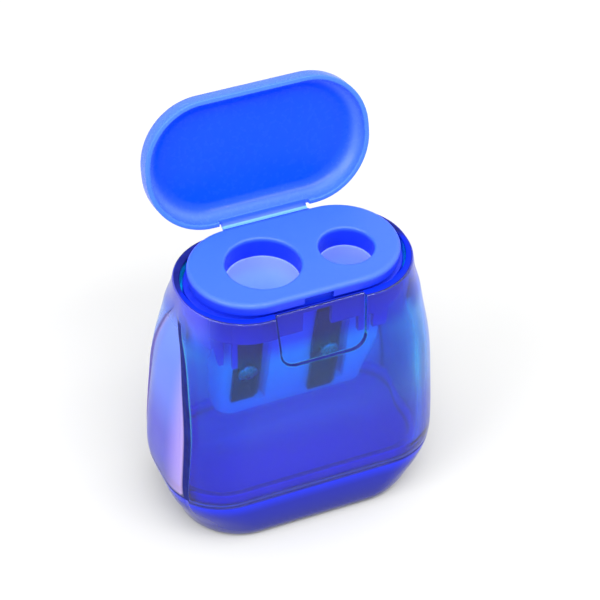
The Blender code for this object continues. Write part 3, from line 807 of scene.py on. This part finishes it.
def make_block():
    changes = []
    for name, (x, y, radius) in HOLES.items():
        bore = radius - BORE_UNDERSIZE
        profile = [(CONE_TIP_R, BLOCK_Z[0] - BEYOND), (CONE_TIP_R, CONE_TIP_Z), (bore, CONE_TOP_Z)]
        profile.append((bore, BLOCK_Z[1] + BEYOND))
        changes.append(("DIFFERENCE", turned(name + "_cone", profile, x, y)))
    for name, blade in BLADES.items():
        edge = blade["x"][1]
        low, high = (edge, -OUTSIDE, SLOT_Z[0]), (edge + SLOT_WIDTH, HOLES[name][1], SLOT_Z[1])
        changes.append(("DIFFERENCE", box(name + "_slot", low, high)))
        hole = turned(name + "_tapped", [(SCREW_HOLE_R, -SCREW_DEPTH), (SCREW_HOLE_R, 2.0)], segments=32)
        changes.append(("DIFFERENCE", placed(hole, *blade["screw"])))
    edge = rounding(BLOCK_ROUND, 4)
    rings = [shrunk(block_ring(BLOCK_Z[0] + short), drawn) for drawn, short in edge[::-1]]
    rings += [block_ring(z) for z in spaced(BLOCK_Z[0] + 1, BLOCK_TOP_Z - 1, 12)]
    rings += [shrunk(block_ring(BLOCK_TOP_Z - short), drawn) for drawn, short in edge]
    block = settle(loft("block_casting", rings), *changes)
    block.data.set_sharp_from_angle(angle=math.radians(30))
    return block


def shrunk(ring, amount):
    """A ring drawn in towards its middle by an amount."""
    sides = [[point[axis] for point in ring] for axis in (0, 1)]
    mid_x, mid_y = [(min(side) + max(side)) / 2 for side in sides]
    scale_x, scale_y = [1 - 2 * amount / (max(side) - min(side)) for side in sides]
    return [(mid_x + (x - mid_x) * scale_x, mid_y + (y - mid_y) * scale_y, z) for x, y, z in ring]


def make_blade(name, blade):
    """A flat blade with a ground edge on its right side and a screw hole."""
    x, z = blade["screw"]
    left, right = (side - x for side in blade["x"])
    lean = math.cos(math.atan(BLOCK_LEAN))
    low, high = (blade["low_z"] - z) / lean, (BLADE_TOP_Z - z) / lean
    base, top = SEAT_GAP, SEAT_GAP + BLADE_THICK
    section = ((left, base), (right, base), (right, base + BLADE_LAND), (right - BLADE_GRIND, top))
    section += ((left, top),)
    plate = loft(name + "_blade_steel", [[(u, y, w) for u, w in section] for y in (low, high)])
    hole = turned(name + "_blade_hole", [(SCREW_HOLE_R, -1.0), (SCREW_HOLE_R, 2.0)], segments=40)
    return placed(soften(settle(plate, ("DIFFERENCE", hole)), 0.05), x, z)


def make_screw(name, blade):
    """A slotted pan-head screw that holds a blade."""
    seat = SEAT_GAP + BLADE_THICK + 0.02
    profile = [(SCREW_SHANK_R * 0.7, -SCREW_DEPTH + 0.3), (SCREW_SHANK_R, -SCREW_DEPTH + 0.7)]
    profile += [(SCREW_SHANK_R, seat), (SCREW_HEAD_R, seat), (SCREW_HEAD_R, seat + SCREW_HEAD_H * 0.45)]
    for angle in spaced(0.15, 1.35, 6):
        rise = SCREW_HEAD_H * (0.45 + 0.55 * math.sin(angle))
        profile.append((SCREW_HEAD_R * math.cos(angle), seat + rise))
    screw = turned(name + "_screw_steel", profile, segments=48)
    top = seat + SCREW_HEAD_H
    length, width, depth = SCREW_SLOT
    slot = box(name + "_screw_slot", (-length, -width, top - depth), (length, width, top + 1.0))
    slot.data.transform(Matrix.Rotation(math.radians(SCREW_TURN_DEG), 4, "Z"))
    return placed(soften(settle(screw, ("DIFFERENCE", slot)), 0.04), *blade["screw"])


# ---------------------------------------------------------------- materials


class Nodes:
    """A material's node tree, with short calls for the nodes used here."""

    def __init__(self, name):
        self.material = bpy.data.materials.new(name)
        self.material.use_nodes = True
        self.tree = self.material.node_tree
        self.shader = self.tree.nodes["Principled BSDF"]
        self.place = self.tree.nodes.new("ShaderNodeTexCoord").outputs["Object"]

    def plain(self, **values):
        for name, value in values.items():
            self.shader.inputs[name.replace("_", " ")].default_value = value

    def link(self, source, target):
        self.tree.links.new(source, target)

    def drive(self, source, name):
        self.link(source, self.shader.inputs[name])

    def noise(self, per_mm, detail=3.0, stretch=None):
        node = self.tree.nodes.new("ShaderNodeTexNoise")
        node.inputs["Scale"].default_value = per_mm / MM
        node.inputs["Detail"].default_value = detail
        source = self.place
        if stretch:
            mapping = self.tree.nodes.new("ShaderNodeMapping")
            mapping.inputs["Scale"].default_value = stretch
            self.link(source, mapping.inputs["Vector"])
            source = mapping.outputs["Vector"]
        self.link(source, node.inputs["Vector"])
        return node.outputs["Fac"]

    def ramp(self, source, low, high, from_low=0.0, from_high=1.0):
        node = self.tree.nodes.new("ShaderNodeMapRange")
        node.inputs["From Min"].default_value = from_low
        node.inputs["From Max"].default_value = from_high
        node.inputs["To Min"].default_value = low
        node.inputs["To Max"].default_value = high
        self.link(source, node.inputs["Value"])
        return node.outputs["Result"]

    def mix(self, share, low, high):
        """A colour between two, each a colour or another node's output."""
        node = self.tree.nodes.new("ShaderNodeMix")
        node.data_type = "RGBA"
        self.link(share, node.inputs["Factor"])
        for source, name in ((low, 6), (high, 7)):
            if isinstance(source, tuple):
                node.inputs[name].default_value = (*source, 1.0)
            else:
                self.link(source, node.inputs[name])
        return node.outputs[2]

    def dye(self, colour, density):
        """Colour that light takes on as it passes through the plastic, deeper where the way is longer."""
        node = self.tree.nodes.new("ShaderNodeVolumeAbsorption")
        node.inputs["Color"].default_value = (*colour, 1.0)
        node.inputs["Density"].default_value = density
        self.link(node.outputs["Volume"], self.tree.nodes["Material Output"].inputs["Volume"])

    def mark(self, key):
        """The value from 0 to 1 that the mesh carries under a name."""
        node = self.tree.nodes.new("ShaderNodeAttribute")
        node.attribute_name = key
        return node.outputs["Fac"]

    def total(self, start, *shares):
        """A start value plus each source times its weight."""
        value = start
        for source, weight in shares:
            value = self.math("MULTIPLY_ADD", source, weight, value)
        return value

    def along(self, direction, low, high):
        """0 to 1 between two distances in mm along a direction from the origin."""
        node = self.tree.nodes.new("ShaderNodeVectorMath")
        node.operation = "DOT_PRODUCT"
        node.inputs[1].default_value = direction
        self.link(self.place, node.inputs[0])
        return self.ramp(node.outputs["Value"], 0.0, 1.0, low * MM, high * MM)

    def math(self, operation, *sources):
        node = self.tree.nodes.new("ShaderNodeMath")
        node.operation = operation
        for source, socket in zip(sources, node.inputs):
            if isinstance(source, float):
                socket.default_value = source
            else:
                self.link(source, socket)
        return node.outputs["Value"]

    def bands(self, levels, direction=(0.0, 0.0, 1.0)):
        """A colour that changes along a direction, from (mm, colour) pairs, lowest first."""
        low, high = levels[0][0], levels[-1][0]
        node = self.tree.nodes.new("ShaderNodeValToRGB")
        node.color_ramp.interpolation = "EASE"
        for i, (z, colour) in enumerate(levels):
            spot = (z - low) / (high - low)
            stops = node.color_ramp.elements
            stop = stops[i] if i < 2 else stops.new(spot)
            stop.position = spot
            stop.color = (*colour, 1.0)
        self.link(self.along(direction, low, high), node.inputs["Fac"])
        return node.outputs["Color"]

    def edges(self):
        """Near 1 on outward edges, where handling wears the surface."""
        geometry = self.tree.nodes.new("ShaderNodeNewGeometry")
        return self.ramp(geometry.outputs["Pointiness"], 0.0, 1.0, 0.52, 0.6)

    def bump(self, source, height_mm, strength):
        node = self.tree.nodes.new("ShaderNodeBump")
        node.inputs["Distance"].default_value = height_mm * MM
        node.inputs["Strength"].default_value = strength
        self.link(source, node.inputs["Height"])
        self.drive(node.outputs["Normal"], "Normal")

    def smudges(self, low, high):
        """Roughness of a polished surface that has been handled."""
        return self.ramp(self.noise(0.35, 4.0), low, high, 0.35, 0.7)

    def waves(self):
        """The slow waves of a moulded surface."""
        self.bump(self.noise(0.12, 1.0), 0.02, 0.25)


def clear_plastic():
    """Clear dyed plastic: polished outside, softer inside, matt and milky on the grips, with painted shade
    along its steps, recess edges, seam and rim, and a painted highlight on the left grip."""
    nodes = Nodes("clear_blue")
    nodes.plain(IOR=1.46)
    inside, panel, pale, dark = (nodes.mark(key) for key in ("inside", "panel", "pale", "dark"))
    grip = nodes.mix(pale, nodes.bands(GRIP_LEVELS), GRIP_HIGHLIGHT)
    outer = nodes.mix(panel, nodes.bands(SHELL_LEVELS), grip)
    skin = nodes.mix(inside, outer, nodes.bands(INNER_LEVELS))
    nodes.drive(nodes.mix(dark, skin, SHADE_NAVY), "Base Color")
    nodes.drive(nodes.total(nodes.smudges(0.02, 0.045), (inside, 0.1), (panel, 0.26)), "Roughness")
    nodes.drive(nodes.total(1.0, (inside, -0.01), (panel, -0.32), (dark, -0.6)), "Transmission Weight")
    nodes.waves()
    nodes.dye(*DYE)
    return nodes.material


def painted_shade_plastic():
    """Painted shade on the same plastic: near-black navy lines along the steps, recess edge, seam and rim,
    turning blue along the rim's front.
    """
    nodes = Nodes("clear_blue_painted_shade")
    nodes.plain(IOR=1.46, Specular_IOR_Level=0.04)
    cloud = nodes.ramp(nodes.noise(0.8, 3.0), 0.0, 1.0, 0.3, 0.7)
    navy = nodes.mix(cloud, SHADE_NAVY, SHADE_NAVY_LIGHTER)
    nodes.drive(nodes.mix(nodes.mark("glow"), navy, RIM_BLUE), "Base Color")
    nodes.drive(nodes.ramp(nodes.noise(2.0, 2.0), 0.35, 0.5, 0.3, 0.7), "Roughness")
    nodes.waves()
    return nodes.material


def cloudy_plastic():
    """The base's plastic: so thick and so full of reflections that little is seen through it, darker towards
    the bottom, with painted shade along its seam and lip.
    """
    nodes = Nodes("clear_blue_base")
    nodes.plain(IOR=1.46, Transmission_Weight=0.2, Specular_IOR_Level=0.27)
    inside, dark = nodes.mark("inside"), nodes.mark("dark")
    skin = nodes.mix(inside, nodes.bands(BASE_LEVELS), DISH_BLUE)
    nodes.drive(nodes.mix(dark, skin, SHADE_NAVY), "Base Color")
    nodes.drive(nodes.total(nodes.smudges(0.06, 0.12), (inside, 0.12)), "Roughness")
    nodes.waves()
    return nodes.material


def from_rim(levels):
    """The lid's levels, moved from distances behind its rim's plane to distances from the origin."""
    rim = LID_DEPTH[1] * HINGE_Y + LID_DEPTH[2] * HINGE_Z + LID_RIM_Z - HINGE_Z
    return tuple((rim + depth, colour) for depth, colour in levels)


def satin_surface(name, levels, roughness, gloss, direction=(0.0, 0.0, 1.0)):
    """Opaque moulded or cast surface with a fine grain, in colours along a direction."""
    nodes = Nodes(name)
    nodes.plain(IOR=1.5, Specular_IOR_Level=gloss, Subsurface_Weight=0.15, Subsurface_Scale=1.5 * MM)
    nodes.plain(Subsurface_Radius=(0.3, 0.6, 1.0))
    base = nodes.bands(levels, direction)
    cloud = nodes.ramp(nodes.noise(0.12, 2.0), 0.0, 0.03, 0.3, 0.7)
    nodes.drive(nodes.mix(cloud, base, levels[0][1]), "Base Color")
    nodes.drive(nodes.ramp(nodes.noise(1.2, 4.0), roughness - 0.06, roughness + 0.08, 0.3, 0.7), "Roughness")
    nodes.bump(nodes.noise(5.0, 2.0), 0.006, 0.5)
    return nodes.material


def metal(name, colour, roughness, stretch):
    """Metal with a directional grain, lighter where its edges are worn."""
    nodes = Nodes(name)
    nodes.plain(Metallic=1.0)
    streaks = nodes.noise(2.0, 5.0, stretch)
    worn = tuple(min(1.0, c * 1.35) for c in colour)
    nodes.drive(nodes.mix(nodes.edges(), colour, worn), "Base Color")
    nodes.drive(nodes.ramp(streaks, roughness - 0.08, roughness + 0.1, 0.3, 0.7), "Roughness")
    nodes.bump(streaks, 0.01, 0.4)
    return nodes.material


# ---------------------------------------------------------------- camera, light and floor


def add_camera():
    azimuth, elevation = math.radians(CAMERA_AZIMUTH), math.radians(CAMERA_ELEVATION)
    level = math.cos(elevation)
    forward = Vector((level * math.sin(azimuth), level * math.cos(azimuth), -math.sin(elevation)))
    data = bpy.data.cameras.new("camera")
    data.lens = CAMERA_LENS
    data.sensor_width = CAMERA_SENSOR
    data.clip_start = 0.01
    camera = bpy.data.objects.new("camera", data)
    turn = forward.to_track_quat("-Z", "Y").to_matrix().to_4x4()
    roll = Matrix.Rotation(math.radians(CAMERA_ROLL), 4, "Z")
    place = (Vector(CAMERA_TARGET) - forward * CAMERA_DISTANCE) * MM
    camera.matrix_world = Matrix.Translation(place) @ turn @ roll
    bpy.context.scene.collection.objects.link(camera)
    bpy.context.scene.camera = camera


def add_area(name, place, width, depth, power):
    data = bpy.data.lights.new(name, "AREA")
    data.shape = "RECTANGLE"
    data.size = width
    data.size_y = depth
    data.energy = power
    light = bpy.data.objects.new(name, data)
    light.location = place
    aim = Vector(LIGHTS_AIM) - Vector(place)
    light.rotation_euler = aim.to_track_quat("-Z", "Y").to_euler()
    bpy.context.scene.collection.objects.link(light)


def add_world():
    """Soft light from above that falls off towards the horizon, and further behind the object."""
    world = bpy.data.worlds.new("studio")
    world.use_nodes = True
    tree = world.node_tree
    background = tree.nodes["Background"]
    place = tree.nodes.new("ShaderNodeTexCoord")
    split = tree.nodes.new("ShaderNodeSeparateXYZ")
    tree.links.new(place.outputs["Generated"], split.inputs["Vector"])

    def fade(axis, start, end, values):
        node = tree.nodes.new("ShaderNodeMapRange")
        node.interpolation_type = "SMOOTHSTEP"
        for name, value in zip(("From Min", "From Max", "To Min", "To Max"), (start, end, *values)):
            node.inputs[name].default_value = value
        tree.links.new(split.outputs[axis], node.inputs["Value"])
        return node.outputs["Result"]

    both = tree.nodes.new("ShaderNodeMath")
    both.operation = "MULTIPLY"
    tree.links.new(fade("Z", 0.0, 0.7, WORLD_STRENGTH), both.inputs[0])
    tree.links.new(fade("Y", 0.0, 0.75, (1.0, WORLD_BACK)), both.inputs[1])
    tree.links.new(both.outputs["Value"], background.inputs["Strength"])
    background.inputs["Color"].default_value = (1.0, 1.0, 1.0, 1.0)
    bpy.context.scene.world = world


def add_studio():
    add_world()
    bpy.context.scene.view_settings.view_transform = "Standard"
    for name, settings in LIGHTS.items():
        add_area(name, *settings)


def add_floor():
    mesh_maker = bmesh.new()
    bmesh.ops.create_grid(mesh_maker, x_segments=8, y_segments=8, size=FLOOR_HALF / MM)
    floor = mesh_object("floor", mesh_maker)
    nodes = Nodes("floor_white")
    nodes.drive(nodes.mix(nodes.noise(0.01), *FLOOR_GREYS), "Base Color")
    nodes.plain(Roughness=0.9, Specular_IOR_Level=0.0)
    floor.data.materials.append(nodes.material)


# ---------------------------------------------------------------- the whole object


def finish_piece(piece, material, body, node, second=None):
    while len(piece.data.materials):
        piece.data.materials.pop()
    piece.data.materials.append(material)
    if second:
        piece.data.materials.append(second)
    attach(piece, body)
    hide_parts(node)


def build():
    add_camera()
    add_studio()
    add_floor()
    shell = clear_plastic()
    base = cloudy_plastic()
    head = satin_surface("head_blue", HEAD_LIGHT_AND_SHADE_LEVELS, 0.42, 0.3)
    lid = satin_surface("lid_blue", from_rim(LID_HIGHLIGHT_LEVELS), 0.24, 0.15, LID_DEPTH)
    hinge_blue = satin_surface("hinge_blue", HINGE_LEVELS, 0.4, 0.3, (0.0, 1.0, 0.0))
    cast = satin_surface("block_pale", BLOCK_LIT_MIDDLE_LEVELS, 0.45, 0.3)
    steel = metal("blade_steel", BLADE_STEEL_BLUE_LIT, 0.32, (6, 1, 0.4))
    screw = metal("screw_steel", SCREW_GREY, 0.25, (1, 1, 1))
    finish_piece(make_shell(), shell, "container", "container_shell", painted_shade_plastic())
    finish_piece(make_base(), base, "container", "container_base")
    finish_piece(make_head(), head, "head", "head_plate")
    finish_piece(make_lid(), lid, "lid", "lid")
    finish_piece(make_block(), cast, "head", "sharpener_block")
    for name, blade in BLADES.items():
        finish_piece(make_blade(name, blade), steel, "head", name + "_blade")
        finish_piece(make_screw(name, blade), screw, "head", name + "_blade_screw")
    hinge = make_hinge()
    hinge.data.materials.append(hinge_blue)
    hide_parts("living_hinge")
    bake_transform(hinge)


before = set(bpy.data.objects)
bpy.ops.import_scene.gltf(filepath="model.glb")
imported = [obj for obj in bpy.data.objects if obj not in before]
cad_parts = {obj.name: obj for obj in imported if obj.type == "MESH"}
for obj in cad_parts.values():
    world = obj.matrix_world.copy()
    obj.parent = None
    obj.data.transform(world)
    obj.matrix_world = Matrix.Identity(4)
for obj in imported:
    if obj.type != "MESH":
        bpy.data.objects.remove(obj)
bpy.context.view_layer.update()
build()
